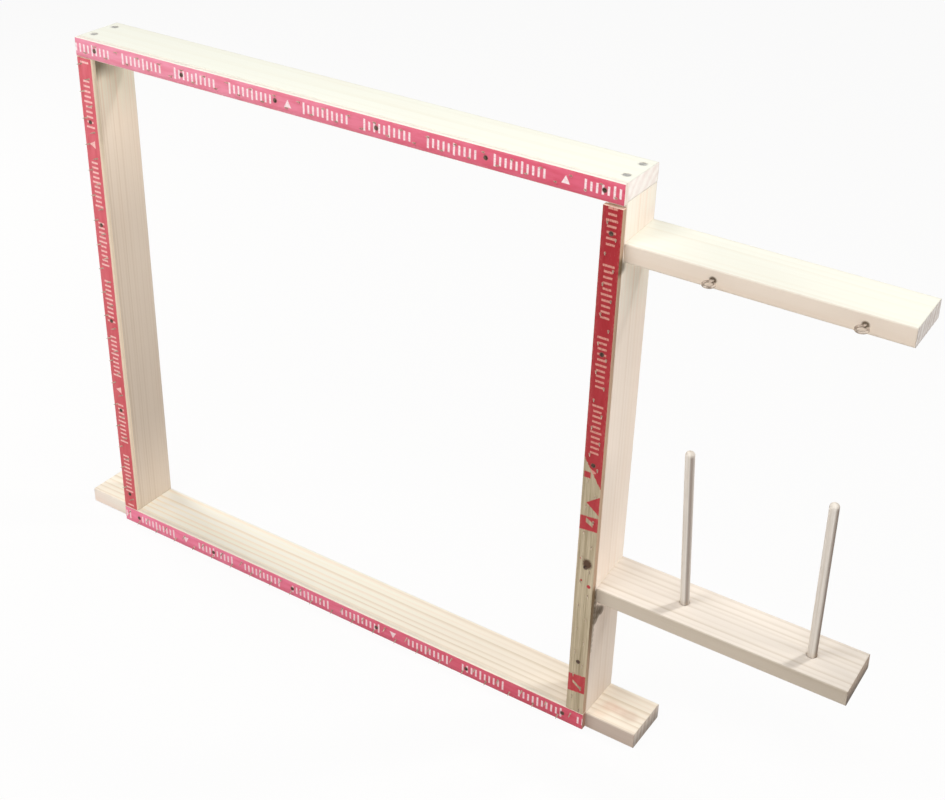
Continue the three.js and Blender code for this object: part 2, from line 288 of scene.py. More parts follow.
# Stains, in metres: pink and brown blotches on the right foot
foot_blush = [
    (0.366, -0.004, 0.020, 0.004, 0.009, 0.35, srgb(226, 180, 154)),
    (0.378, -0.005, 0.020, 0.003, 0.009, 0.30, srgb(216, 168, 144)),
    (0.361, -0.018, 0.020, 0.003, 0.010, 0.30, srgb(230, 188, 152)),
    (0.391, -0.007, 0.020, 0.004, 0.010, 0.35, srgb(196, 156, 130)),
]
# Painted shade under the rail, inside the left stile's front corner
rail_painted_shade = [(-0.328, -0.033, 0.634, 0.010, 0.019, 0.78), (-0.328, -0.008, 0.626, 0.005, 0.016, 0.35)]
# Painted shadow under the shelf on the right stile: down along the strip, and a patch towards the back; and
# painted shadow under the arm
RIGHT_FACE = HALF_WIDTH * MM
shelf_painted_shadow = [
    (RIGHT_FACE, -0.0305, 0.186 - k * 0.007, 0.0045 - k * 0.0003, 0.0030, 0.85 - k * 0.05) for k in range(12)]
shelf_painted_shadow += [(RIGHT_FACE, y, z, 0.0034, 0.0034, 0.76) for y, z in (
    (-0.025, 0.164), (-0.020, 0.160), (-0.0155, 0.157), (-0.012, 0.154), (-0.025, 0.156), (-0.020, 0.154),
    (-0.0255, 0.149))]
arm_painted_shadow = [(RIGHT_FACE, -0.031, 0.574, 0.003, 0.007, 0.8)]
# Painted shade round the thread eyes' necks, where they enter the arm
eye_neck_painted_shade = [
    (RIGHT_FACE + station * MM, -0.029, 0.5872, 0.0024, 0.0022, 0.9) for station in EYE_STATIONS.values()]

# Boards: each has its own pith, ring width and tone, and its own painted light and shade
woods = {
    "top_rail": pine(
        "pine_top_rail", "X", pith=(0.085, 0.560), ring=0.0115, seed=2.3,
        pale=srgb(243, 243, 230), dark=srgb(231, 224, 201), contrast=0.15,
        end=srgb(252, 246, 240), end_dark=(0.91, 0.86, 0.85),
        narrow=((1.05, 0.98, 0.93), (1.05, 0.98, 0.93))),
    "base_board": pine(
        "pine_base_board", "X", pith=(-0.165, 0.020), ring=0.0088, seed=7.1, rise=0.30, fall=0.82,
        pale=srgb(251, 239, 222), dark=srgb(214, 197, 168), contrast=0.48, pink=0.06,
        end=srgb(206, 196, 186), end_fall=(0.004, 0.018, 0.60),
        narrow=((1.05, 0.99, 1.05), (0.62, 0.575, 0.585)),
        painted_shading=((-0.42, 1.02), (-0.30, 1.12), (0.32, 1.0), (0.38, 1.02)), stains_and_shade=foot_blush),
    "left_stile": pine(
        "pine_left_stile", "Z", pith=(-0.315, 0.125), ring=0.0042, seed=11.7,
        pale=srgb(242, 226, 208), dark=srgb(206, 182, 154), contrast=0.32,
        painted_shading=((0.02, 0.92), (0.16, 0.71), (0.40, 0.81), (0.63, 1.18)), stains_and_shade=rail_painted_shade),
    "right_stile": pine(
        "pine_right_stile", "Z", pith=(0.350, -0.150), ring=0.0068, seed=15.2,
        pale=srgb(252, 238, 224), dark=srgb(228, 207, 184), contrast=0.30, pink=0.05,
        painted_shading=((0.02, 0.88), (0.15, 0.81), (0.20, 1.01), (0.30, 0.89), (0.45, 0.90), (0.54, 1.04),
               (0.58, 1.04), (0.60, 0.98), (0.63, 1.05)), stains_and_shade=shelf_painted_shadow + arm_painted_shadow),
    "yarn_arm": pine(
        "pine_yarn_arm", "X", pith=(-0.130, 0.610), ring=0.0072, seed=21.9,
        pale=srgb(241, 240, 227), dark=srgb(229, 219, 198), contrast=0.22, end=srgb(210, 206, 202),
        narrow=((0.91, 0.815, 0.77), (0.96, 0.845, 0.815)), stains_and_shade=eye_neck_painted_shade),
    "yarn_shelf": pine(
        "pine_yarn_shelf", "X", pith=(0.150, 0.170), ring=0.0070, seed=27.4, fall=0.66,
        pale=srgb(252, 241, 228), dark=srgb(216, 199, 176), contrast=0.46,
        # The shelf's sawn end is dark: end grain, with painted shade
        end=srgb(166, 151, 136), end_fall=(0.178, 0.197, 0.36),
        narrow=((0.84, 0.82, 0.785), (0.82, 0.795, 0.74)), painted_shading=((0.36, 0.84), (0.50, 0.81), (0.64, 0.72))),
}
for node, material in woods.items():
    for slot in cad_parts[node].material_slots:
        slot.material = material


# Tack strips: ply with a printed face


# The printed scale's lengths along a strip
SCALE_PERIOD, TEN_LENGTH, TICK_PITCH = 330.0, 77.0, 6.1
FOUR_TENS = 4 * TEN_LENGTH
# The right strip: where its whole print ends, its red spots (across, height, radius) and its knot
PRINT_FOOT = 359.0
RED_SPOTS = ((7.1, 204.1, 1.3), (16.5, 199.0, 2.3), (4.4, 232.0, 0.7))
KNOT_ACROSS, KNOT_HEIGHT = 13.0, 227.5


def strip_axes(world, turn, origin):
    """Place along a strip from its start, and inwards from its outer edge, in millimetres."""
    x, z = (world[0] - origin.x) * 1000, (world[2] - origin.z) * 1000
    if turn == 0:
        return x, z * -1
    if turn == 180:
        return x * -1, z
    return (z, x) if turn == -90 else (z * -1, x * -1)


def patched_print(g, across, height, ragged):
    """What is left of the right strip's ink: its upper part, and separate patches on the bare lower half.

    across runs from the strip's inner edge and height from the table, in millimetres."""
    upper = g.ramp(PRINT_FOOT - height - across * 1.6 + ragged * 3.2, -0.8, 0.8, 1.0, 0.0)
    dart_edge = g.math("ABSOLUTE", height - 304) - (across - 6.3) * 0.76 + ragged
    dart = g.between(across + ragged, 6.3, 40, 0.6) * g.ramp(dart_edge, -0.6, 0.6, 1.0, 0.0)
    band = g.between(height + ragged - across * 0.1, 269.0, 286.5, 0.7)
    notch = g.between(across, 7.5, 15.5, 0.5) * g.between(height + across * 0.5, 283.5, 289.0, 0.7)
    stub = g.between(height + ragged, 334.0, 341.5, 0.7) * g.between(across, 1.5, 9.0, 0.7)
    low = g.between(height + ragged - across * 0.12, 49.0, 73.5, 0.7)
    slash = g.between(height + across * 0.7, 66.5, 70.0, 0.6) * g.between(across, 6.0, 17.0, 0.6)
    patches = dart + band * (1 - notch) + stub + low * (1 - slash)
    for spot_across, spot_height, radius in RED_SPOTS:
        away = g.distance(across - spot_across, height - spot_height) + ragged * 0.35
        patches = patches + g.ramp(away, radius - 0.4, radius + 0.4, 1.0, 0.0)
    return upper, g.math("MINIMUM", upper + patches, 1.0)


def scale_marks(g, u, v, worn, start):
    """White scale: ticks in tens, a longer one at each fifth, and a small triangle after each four tens."""
    along = g.math("FLOORED_MODULO", u + start, SCALE_PERIOD)
    step = g.math("FLOORED_MODULO", along, TEN_LENGTH) / TICK_PITCH
    index = g.math("FLOOR", step)
    tick = g.between(g.math("FRACT", step), 0.30, 0.68, 0.08)
    fifth = g.ramp(g.math("FLOORED_MODULO", index, 5.0), 0.4, 0.6, 1.0, 0.0)
    half_height = fifth * 1.5 + 4.8 + (g.chance(index) - 0.5) * 0.5
    inside = g.ramp(g.math("ABSOLUTE", v - STRIP_WIDTH / 2) + worn - half_height, -0.35, 0.35, 1.0, 0.0)
    tens = g.ramp(index, 9.5, 9.6, 1.0, 0.0) * g.ramp(along, FOUR_TENS - 1, FOUR_TENS, 1.0, 0.0)
    slope = g.math("ABSOLUTE", along - (FOUR_TENS + 4.0)) - (v - 6.5) * 0.55
    triangle = g.ramp(slope + worn * 0.4, -0.4, 0.4, 1.0, 0.0) * g.between(v, 7.0, 15.0, 0.4)
    return g.math("MINIMUM", tick * inside * tens + triangle, 1.0)


def bruised_wood(g, u, v, worn, nails):
    """Chipped and dirty wood round the pins and the nails."""
    chips, holes = [], []
    for row in (0, 1):
        du = g.math("WRAP", u - PIN_START - row * PIN_PITCH / 2, PIN_PITCH / 2, -PIN_PITCH / 2)
        dv = v - (STRIP_WIDTH / 2 - (row - 0.5) * PIN_ROW_SPACING)
        away = g.distance(du, dv) + worn * 0.2
        chips.append(g.ramp(away, 0.9, 1.7, 1.0, 0.0))
        holes.append(g.ramp(away, 0.75, 1.0, 0.3, 0.0))
    first, pitch = nails
    du = g.math("WRAP", u - first, pitch / 2, -pitch / 2)
    away = g.distance(du, v - STRIP_WIDTH / 2) + worn * 0.5
    chips.append(g.ramp(away, 2.4, 3.2, 0.6, 0.0))
    holes.append(g.ramp(away, 2.2, 3.1, 1.0, 0.0))
    return [g.math("MINIMUM", parts[0] + parts[1] + parts[2], 1.0) for parts in (chips, holes)]


def ply(label, side, origin):
    """Sawn three-ply with a printed face that carries a plain scale of white ticks and triangles.

    The ink goes from the first colour to the second along the strip. The right strip's print is patched."""
    g = Graph(f"ply_{label}", specular=0.3)
    patched = label == "right"
    world = g.axes()
    u, v = strip_axes(world, side["turn"], origin)
    across, height = STRIP_WIDTH - v, side["length"] + STRIP_WIDTH + STRIP_FOOT_GAP - u
    depth = (world[1] + BOARD_DEPTH / 2 * MM) * -1000
    facing = g.axes(g.geometry.outputs["True Normal"])
    face = g.ramp(facing[1], -0.75, -0.92)
    butt = g.ramp(g.math("ABSOLUTE", facing[0 if side["turn"] in (0, 180) else 2]), 0.75, 0.92)

    # Bare veneer: grain along the strip on the face, three plies on the edges
    fine = g.noise(g.vector(u * 0.02, v * 1.6, depth * 1.6), detail=3.0, roughness=0.65)
    broad = g.noise(g.vector(u * 0.008, v * 0.22, depth * 0.2), detail=2.0)
    veneer = g.mix(g.ramp(fine * 0.6 + broad * 0.4, 0.32, 0.70), srgb(162, 146, 117), srgb(214, 200, 172))
    layer = depth / (STRIP_THICKNESS / 3) + (broad - 0.5) * 0.16
    middle = g.between(layer, 1.0, 2.0, 0.06)
    glue = g.between(layer, 0.95, 1.05, 0.04) + g.between(layer, 1.95, 2.05, 0.04)
    fuzz = g.noise(g.vector(u * 1.1, v * 5, depth * 5), detail=3.0, roughness=0.7)
    sawn = g.mix(butt, side["edge"], side["end"])
    sawn = g.mix(middle, sawn, g.times(sawn, (0.92, 0.91, 0.90, 1)))
    sawn = g.mix(g.ramp(fuzz, 0.40, 0.78, 0.0, 0.4), sawn, g.times(sawn, (0.76, 0.74, 0.72, 1)))
    sawn = g.mix(glue * 0.22, sawn, g.times(sawn, (0.5, 0.48, 0.46, 1)))
    if patched:
        # Painted shadow on the outer edge, in the corners under the arm and under the shelf
        shade_under_arm = g.between(world[2], 0.566, 0.584, 0.004)
        shade_under_shelf = g.ramp(world[2], 0.070, 0.155) * g.ramp(world[2], 0.192, 0.204, 1.0, 0.0)
        outer = g.ramp(world[0], 0.3420, 0.3465)
        sawn = g.mix((shade_under_arm + shade_under_shelf) * outer * 0.85, sawn, srgb(90, 71, 38))
    colour = g.mix(face, sawn, veneer)

    # Printed area, with ragged borders and thin spots
    ragged = (g.noise(g.vector(u * 0.5, v * 0.5, 0.0), detail=3.0) - 0.5) * 2.2
    marked, printed = patched_print(g, across, height, ragged) if patched else (1.0, 1.0)
    printed = face * printed
    thin = g.noise(g.vector(u * 0.12, v * 1.3, 1.0), detail=3.0, roughness=0.7)
    wash = g.noise(g.vector(u * 0.03, v * 0.15, 4.0), detail=2.0)
    red = g.mix(g.ramp(u, 0.0, side["length"]), *side["inks"])
    red = g.mix(g.ramp(wash, 0.3, 0.7), red, g.times(red, (0.92, 0.72, 0.74, 1)))
    red = g.mix(g.ramp(thin, 0.62, 0.80, 0.0, 0.45), red, srgb(232, 178, 168))
    colour = g.mix(printed, colour, red)
    worn = (g.noise(g.vector(u * 0.7, v * 0.7, 2.0), detail=2.0) - 0.5) * 1.6
    marks = scale_marks(g, u, v, worn, side["marks"]) * marked * face
    patchy = g.ramp(g.noise(g.vector(u * 0.4, v * 0.9, 7.0), detail=2.0), 0.30, 0.55, *side["wear"])
    colour = g.mix(marks * patchy, colour, side["white"])

    hurt, dirt = bruised_wood(g, u, v, worn, side["nails"])
    colour = g.mix(hurt * face * 0.45, colour, srgb(214, 190, 168))
    colour = g.mix(dirt * face * 0.65, colour, srgb(70, 48, 36))
    if patched:
        knot = g.distance(across - KNOT_ACROSS, (height - KNOT_HEIGHT) * math.sqrt(0.8)) + ragged * 1.4
        colour = g.mix(g.ramp(knot, 3.6, 7.0, 0.94, 0.0) * face, colour, srgb(78, 48, 32))

    eased, edge = g.rounded(0.5 * MM)
    rub = g.noise(g.vector(u * 0.25, v * 0.5, depth * 0.5), detail=3.0)
    colour = g.mix(edge * g.ramp(rub, 0.42, 0.62) * 0.4, colour, srgb(226, 204, 178))
    relief = (fuzz - 0.5) * (1 - face) * 2.2 + (fine - 0.5) * 0.6 + printed * 0.12
    roughness = g.ramp(fine, 0.2, 0.8, 0.60, 0.78) - printed * 0.10
    return g.finish(colour, roughness, g.bump(relief, 0.18 * MM, 0.6, eased))


def side_matrix(turn, x, z):
    """Place of one side of the frame: its outer face is z = 0 and +Z points outwards."""
    return Matrix.Translation((x, 0, z)) @ Matrix.Rotation(math.radians(turn), 4, "Y")


def new_object(name, mesh, *materials):
    for material in materials:
        mesh.materials.append(material)
    piece = bpy.data.objects.new(name, mesh)
    bpy.context.scene.collection.objects.link(piece)
    return piece


def smooth(shape, limit):
    """Smooth faces, with the edges above an angle in degrees kept sharp."""
    for face in shape.faces:
        face.smooth = True
    for edge in shape.edges:
        if len(edge.link_faces) == 2 and edge.calc_face_angle(0.0) > math.radians(limit):
            edge.smooth = False


def mesh_of(name, build, smooth_below=None):
    """A mesh filled in by a bmesh function, and smoothed where an angle in degrees is given."""
    shape = bmesh.new()
    build(shape)
    bmesh.ops.recalc_face_normals(shape, faces=shape.faces)
    if smooth_below is not None:
        smooth(shape, smooth_below)
    mesh = bpy.data.meshes.new(name)
    shape.to_mesh(mesh)
    shape.free()
    return mesh


def lathe(shape, profile, sides, matrix=Matrix.Identity(4), wobble=None):
    """Turns a profile of (radius, height) points round the Y axis, from axis to axis."""
    rings = []
    for k, (radius, height) in enumerate(profile):
        if radius == 0:
            rings.append([shape.verts.new(matrix @ Vector((0, height, 0)))])
            continue
        ring = []
        for i in range(sides):
            angle = 2 * math.pi * i / sides
            r = radius * (1 - (wobble(k, angle) if wobble else 0))
            ring.append(shape.verts.new(matrix @ Vector((r * math.cos(angle), height, r * math.sin(angle)))))
        rings.append(ring)
    for low, high in zip(rings, rings[1:]):
        for i in range(sides):
            j = (i + 1) % sides
            corners = [low[i % len(low)], low[j % len(low)], high[j % len(high)], high[i % len(high)]]
            kept = list(dict.fromkeys(corners))
            if len(kept) > 2:
                shape.faces.new(kept)


def tube(shape, rings):
    """Skins a row of rings with an equal number of points, and closes both ends."""
    count = len(rings[0])
    for low, high in zip(rings, rings[1:]):
        for i in range(count):
            shape.faces.new((low[i], low[(i + 1) % count], high[(i + 1) % count], high[i]))
    shape.faces.new(rings[0])
    shape.faces.new(rings[-1])


def strip_body(shape, matrix, start, length, seed):
    """The strip's ply, with sawn edges that waver a little inside the true size."""
    thick, wide, ease, waver = STRIP_THICKNESS, STRIP_WIDTH, 0.45, 0.16
    section = [
        (-ease, 0), (-thick + ease, 0), (-thick, -ease), (-thick, -wide / 3), (-thick, -2 * wide / 3),
        (-thick, -wide + ease), (-thick + ease, -wide), (-ease, -wide), (0, -wide + ease), (0, -ease),
    ]
    steps = round(length / 4)
    rings = []
    for k in range(steps + 1):
        u = start + length * k / steps
        ring = []
        for y, z in section:
            bite = waver * (noise.noise(Vector((u * 0.15, y * 0.6, z * 0.6 + seed))) + 1) / 2
            into_y = bite / 2 if y <= ease - thick else 0
            into_z = -bite if z >= -ease else bite if z <= ease - wide else 0
            at = Vector((u, y + into_y - BOARD_DEPTH / 2, z + into_z)) * MM
            ring.append(shape.verts.new(matrix @ at))
        rings.append(ring)
    tube(shape, rings)


def strip_pins(shape, matrix, start, length, seed):
    """Two rows of steel pins that lean outwards, each with a cut point and a little short of its reach."""
    dice = random.Random(seed)
    for row in (0, 1):
        u = PIN_START + row * PIN_PITCH / 2
        while u < length - 2 * PIN_RADIUS:
            z = -STRIP_WIDTH / 2 + (row - 0.5) * PIN_ROW_SPACING
            reach = PIN_REACH / math.cos(math.radians(PIN_LEAN)) - 0.1 - 0.35 * dice.random()
            lean = math.radians(180 - PIN_LEAN + dice.uniform(0.0, 2.5))
            place = (matrix @ Matrix.Scale(MM, 4)
                     @ Matrix.Translation((start + u, STRIP_FACE, z))
                     @ Matrix.Rotation(lean, 4, "X")
                     @ Matrix.Rotation(dice.uniform(0, math.pi), 4, "Y"))
            lathe(shape, [
                (0, -1.4), (0.72, -1.4), (0.72, 0.8), (0.66, reach * 0.52), (0.42, reach * 0.80),
                (0.16, reach * 0.96), (0, reach),
            ], 10, place)
            u += PIN_PITCH


def steel(name, bright, dark, roughness, tint, metallic):
    """Wire or plated steel: dulled patches between bright and dark, and specks of a tint."""
    g = Graph(name, metallic=metallic)
    x, y, z = g.axes()
    fine = g.noise(g.vector(x * 700, y * 700, z * 700), detail=2.0)
    patch = g.noise(g.vector(x * 260, y * 260, z * 260), detail=3.0)
    colour = g.mix(g.ramp(patch, 0.35, 0.70), bright, dark)
    colour = g.mix(g.ramp(fine, 0.62, 0.80, 0.0, 0.5), colour, tint)
    eased, edge = g.rounded(0.25 * MM)
    colour = g.mix(edge * 0.5, colour, tuple(min(1.0, c * 1.35) for c in bright[:3]) + (1.0,))
    rough = g.ramp(fine, 0.25, 0.75, roughness - 0.08, roughness + 0.12)
    rough = rough + g.ramp(patch, 0.4, 0.8, 0.0, 0.10)
    return g.finish(colour, rough, g.bump(fine, 0.03 * MM, 0.35, eased))


pin_steel = steel("pin_steel", srgb(204, 190, 170), srgb(160, 146, 128), 0.52, srgb(140, 112, 90), 0.45)
nail_steel = steel("nail_steel", srgb(112, 92, 80), srgb(62, 48, 42), 0.50, srgb(124, 84, 60), 0.7)
screw_zinc = steel("screw_zinc", srgb(222, 221, 216), srgb(188, 186, 180), 0.50, srgb(196, 188, 168), 0.55)
eye_zinc = steel("eye_zinc", srgb(206, 192, 178), srgb(146, 130, 116), 0.44, srgb(118, 98, 80), 0.70)

# Each side: its turn and corner, the strip's start and length, first nail and nail pitch, the colours of its
# ink, sawn edges, ends and marks, where its scale starts, and how much of the marks is left, least and most
sides = {
    "top": dict(
        turn=0, x=0, z=FRAME_HEIGHT, start=-HALF_WIDTH, length=FRAME_WIDTH, nails=(29, 129.2),
        inks=(srgb(243, 156, 180), srgb(227, 102, 128)), edge=srgb(250, 242, 230), end=srgb(248, 232, 222),
        white=srgb(255, 238, 240), marks=8.0, wear=(0.60, 1.0)),
    "base": dict(
        turn=180, x=0, z=0, start=-HALF_WIDTH, length=FRAME_WIDTH, nails=(26, 129.2),
        inks=(srgb(224, 98, 120), srgb(249, 143, 175)), edge=srgb(250, 240, 222), end=srgb(176, 132, 116),
        white=srgb(255, 232, 236), marks=52.0, wear=(0.60, 1.0)),
    "left": dict(
        turn=-90, x=-HALF_WIDTH, z=0, start=STRIP_WIDTH + STRIP_FOOT_GAP, length=LEFT_STRIP_LENGTH,
        nails=(22, 129.25),
        inks=(srgb(216, 99, 107), srgb(225, 108, 121)), edge=srgb(246, 228, 204), end=srgb(246, 226, 200),
        white=srgb(255, 212, 206), marks=130.0, wear=(0.35, 0.92)),
    "right": dict(
        turn=90, x=HALF_WIDTH, z=0, start=STRIP_WIDTH + RIGHT_STRIP_TOP_GAP - FRAME_HEIGHT,
        length=RIGHT_STRIP_LENGTH, nails=(26.5, 128.625),
        # The right strip's sawn edges are darker than the others: painted shade
        inks=(srgb(173, 41, 51), srgb(197, 73, 79)), edge=srgb(192, 162, 136), end=srgb(246, 214, 198),
        white=srgb(238, 184, 166), marks=20.0, wear=(0.26, 0.68)),
}
for label, side in sides.items():
    matrix = side_matrix(side["turn"], side["x"] * MM, side["z"] * MM)
    start = side["start"]
    # The strip's own origin in the world: where its start and its outer edge meet
    origin = matrix @ Vector((start * MM, 0, 0))
    ply_mesh = mesh_of(
        f"{label}_strip_ply", lambda s: strip_body(s, matrix, start, side["length"], side["marks"]), 50)
    body = new_object(f"{label}_strip_ply", ply_mesh, ply(label, side, origin))
    pin_mesh = mesh_of(
        f"{label}_strip_pins", lambda s: strip_pins(s, matrix, start, side["length"], label), 40)
    pins = new_object(f"{label}_strip_pins", pin_mesh, pin_steel)
    for piece in (body, pins):
        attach(piece, "frame")
        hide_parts(f"{label}_tack_strip")


# Fasteners


def driven(parent, seat, direction, roll):
    """Place of a fastener whose seat is at a point and whose tip goes towards a direction."""
    aim = Vector((0, -1, 0)).rotation_difference(Vector(direction)).to_matrix().to_4x4()
    return (parent @ Matrix.Translation(Vector(seat) * MM) @ aim
            @ Matrix.Rotation(roll, 4, "Y") @ Matrix.Scale(MM, 4))


def nail_mesh(name, matrix):
    """A wire nail with a domed head and grip ridges under it, its seat at the origin and its tip along -Y."""

    def build(shape):
        ridges = [(1.06 if k % 2 else 0.98, -2.6 + k * 0.3) for k in range(7)]
        lathe(shape, [
            (0, -15.9), (0.18, -15.6), (1.04, -13.4), (1.04, -2.9), *ridges, (1.06, -0.05), (2.02, 0.02),
            (2.16, 0.18), (2.18, 0.42), (2.05, 0.62), (1.5, 0.72), (0.8, 0.76), (0, 0.77),
        ], 24, matrix)

    return mesh_of(name, build, 55)


for label, side in sides.items():
    matrix = side_matrix(side["turn"], side["x"] * MM, side["z"] * MM)
    first, pitch = side["nails"]
    number = 1
    while f"{label}_nail_{number}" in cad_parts:
        name = f"{label}_nail_{number}"
        dice = random.Random(name)
        seat = (side["start"] + first + (number - 1) * pitch, STRIP_FACE, -STRIP_WIDTH / 2)
        place = driven(matrix, seat, (0, 1, 0), dice.uniform(0, 6.28))
        piece = new_object(f"{name}_steel", nail_mesh(f"{name}_steel", place), nail_steel)
        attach(piece, "frame")
        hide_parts(name)
        number += 1


def screw_body(shape):
    """A countersunk wood screw, its seat at the origin and its tip along -Y."""
    turns, thread = 26, 44
    ridges = []
    for k in range(turns):
        foot = -48 + thread * (k / turns)
        ridges += [(1.55, foot + 0.2), (1.95, foot + 0.9)]
    ridges = [(min(r, 0.35 + (h + 50) * 0.33), h) for r, h in ridges]
    lathe(shape, [
        (0, -49.8), *ridges, (1.95, -3.2), (2.0, -2.7), (3.9, -0.5), (3.98, -0.3), (3.96, -0.05), (3.8, 0),
        (0, 0),
    ], 40)


def recess_blade(shape, turn):
    """One blade of the cross recess, as (height, half length, half width) steps that narrow downwards."""
    spin = Matrix.Rotation(turn, 4, "Y")
    tube(shape, [
        [shape.verts.new(spin @ Vector((sx * reach, height, sz * width)))
         for sx, sz in ((-1, -1), (1, -1), (1, 1), (-1, 1))]
        for height, reach, width in ((0.4, 2.25, 0.44), (-1.3, 1.15, 0.36), (-1.9, 0.35, 0.28))])


def screw_template():
    """The screw's mesh with its cross recess cut."""
    whole = new_object("screw_template", mesh_of("screw_template", screw_body))
    blades = []
    for k, turn in enumerate((0, math.pi / 2)):
        blade = new_object(f"screw_blade_{k}", mesh_of(f"screw_blade_{k}", lambda s: recess_blade(s, turn)))
        cut = whole.modifiers.new(f"recess_{k}", "BOOLEAN")
        cut.operation, cut.solver, cut.object = "DIFFERENCE", "EXACT", blade
        blades.append(blade)
    bpy.context.view_layer.update()
    graph = bpy.context.evaluated_depsgraph_get()
    mesh = bpy.data.meshes.new_from_object(whole.evaluated_get(graph))
    for spare in [whole] + blades:
        bpy.data.objects.remove(spare)
    return mesh


def bracket_matrix(size):
    """Place of the arm or the shelf: its origin is at the middle of its butted end."""
    return (Matrix.Translation(Vector((HALF_WIDTH, size["setback"], size["height"])) * MM)
            @ Matrix.Rotation(math.radians(size["tilt"]), 4, "X"))


arm_place, shelf_place = bracket_matrix(ARM), bracket_matrix(SHELF)
unturned, stile_middle = Matrix.Identity(4), HALF_WIDTH - BOARD_THICKNESS / 2
spread = {"front": -SCREW_SPREAD, "back": SCREW_SPREAD}
# Each screw's parent place, its seat and the way it is driven
screws = {}
for label, x in (("left", -stile_middle), ("right", stile_middle)):
    for end, y in spread.items():
        top = (x, y, FRAME_HEIGHT - SCREW_SINK)
        screws[f"rail_screw_{label}_{end}"] = (unturned, top, (0, 0, -1))
        screws[f"base_screw_{label}_{end}"] = (unturned, (x, y, SCREW_SINK), (0, 0, 1))
for label, place in (("arm", arm_place), ("shelf", shelf_place)):
    for end, y in spread.items():
        screws[f"{label}_screw_{end}"] = (place, (SCREW_SINK - BOARD_THICKNESS, y, 0), (1, 0, 0))

template = screw_template()
for name, (parent, seat, direction) in screws.items():
    dice = random.Random(name)
    mesh = template.copy()
    mesh.transform(driven(parent, seat, direction, dice.uniform(0, 1.57)))
    mesh.name = f"{name}_zinc"
    shape = bmesh.new()
    shape.from_mesh(mesh)
    smooth(shape, 35)
    shape.to_mesh(mesh)
    shape.free()
    piece = new_object(f"{name}_zinc", mesh, screw_zinc)
    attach(piece, "frame")
    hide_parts(name)


# Spindles and thread eyes


# Painted shade down one side of each dowel: where it starts across the dowel (-1 to 1, seen from the front
# right), where and by how much it ends again, and its colour factor
DOWEL_PAINTED_SHADE = {
    "inner": ((-0.30, 0.10), (0.40, 0.95, 0.55), (0.42, 0.38, 0.36, 1.0)),
    "outer": ((-0.20, 0.65), (0.90, 1.0, 0.0), (0.27, 0.23, 0.21, 1.0)),
}


def dowel(name, seed, onset, release, depth):
    """Turned softwood with long fibres, paler latewood lines, painted shade down one side and a painted
    highlight on the tip.
    """
    g = Graph(name, specular=0.4)
    x, y, z = g.axes()
    lines = g.noise(g.vector(x * 620, y * 620, z * 7 + seed), detail=3.0, roughness=0.6)
    slow = g.noise(g.vector(x * 150 + seed, y * 150, z * 4), detail=2.0)
    fibre = g.noise(g.vector(x * 2300, y * 2300, z * 60), detail=2.0)
    colour = g.mix(g.ramp(lines * 0.6 + slow * 0.4, 0.36, 0.66), srgb(238, 232, 225), srgb(220, 211, 199))
    across = (x * 0.838 + y * 0.545) * (1 / (SPINDLE_RADIUS * MM))
    low, high, given_back = release
    # Painted shade down one side of the dowel
    shaded_side = g.ramp(across + (slow - 0.5) * 0.3, *onset) - g.ramp(across, low, high, 0.0, given_back)
    colour = g.mix(shaded_side, colour, g.times(colour, depth))
    colour = g.mix(g.ramp(fibre, 0.58, 0.80, 0.0, 0.30), colour, srgb(190, 168, 140))
    # Painted highlight on the tip
    tip_highlight = g.ramp(z, (SPINDLE_REACH - 6) * MM, SPINDLE_REACH * MM)
    foot = g.ramp(z, 10 * MM, 0.0)
    colour = g.mix(tip_highlight * 0.6, colour, srgb(240, 231, 218))
    colour = g.mix(foot * 0.25, colour, srgb(186, 160, 126))
    rings = g.math("SINE", z * 5200.0) * 0.5
    height = (lines - 0.5) + (fibre - 0.5) * 0.6 + rings * 0.12
    return g.finish(colour, g.ramp(lines, 0.3, 0.7, 0.50, 0.66), g.bump(height, 0.10 * MM, 0.5))


def dowel_body(shape, seed):
    """A dowel with an eased foot and a domed tip, along +Z from the shelf's top, a little out of round."""
    r, shoulder = SPINDLE_RADIUS - 0.04, SPINDLE_REACH - SPINDLE_TIP
    profile = [
        (0, SPINDLE_FOOT), (r - 1.06, SPINDLE_FOOT), (r - 0.6, SPINDLE_FOOT + 0.2), (r, SPINDLE_FOOT + 1.0)]
    profile += [(r, h) for h in range(-12, SPINDLE_REACH - 6, 4)]
    for degrees in range(6, 90, 7):
        a = math.radians(degrees)
        profile.append((r * math.cos(a), shoulder + SPINDLE_TIP * math.sin(a) * 0.995))
    profile.append((0, SPINDLE_REACH - 0.03))

    def wobble(k, angle):
        return 0.010 * (noise.noise(Vector((math.cos(angle), math.sin(angle), k * 0.35 + seed))) + 1) / 2

    lathe(shape, profile, 64, Matrix.Scale(MM, 4) @ Matrix.Rotation(math.pi / 2, 4, "X"), wobble)


for label, (station, from_front, lean) in SPINDLES.items():
    foot = Vector((station, from_front - BOARD_DEPTH / 2, BOARD_THICKNESS / 2)) * MM
    place = shelf_place @ Matrix.Translation(foot) @ Matrix.Rotation(math.radians(lean), 4, "Y")
    mesh = mesh_of(f"{label}_spindle_dowel", lambda s: dowel_body(s, station), 40)
    material = dowel(f"dowel_{label}", station * 0.1, *DOWEL_PAINTED_SHADE[label])
    piece = new_object(f"{label}_spindle_dowel", mesh, material)
    piece.matrix_world = place
    bpy.context.view_layer.update()
    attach(piece, f"{label}_spindle")
    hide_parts(f"{label}_spindle")


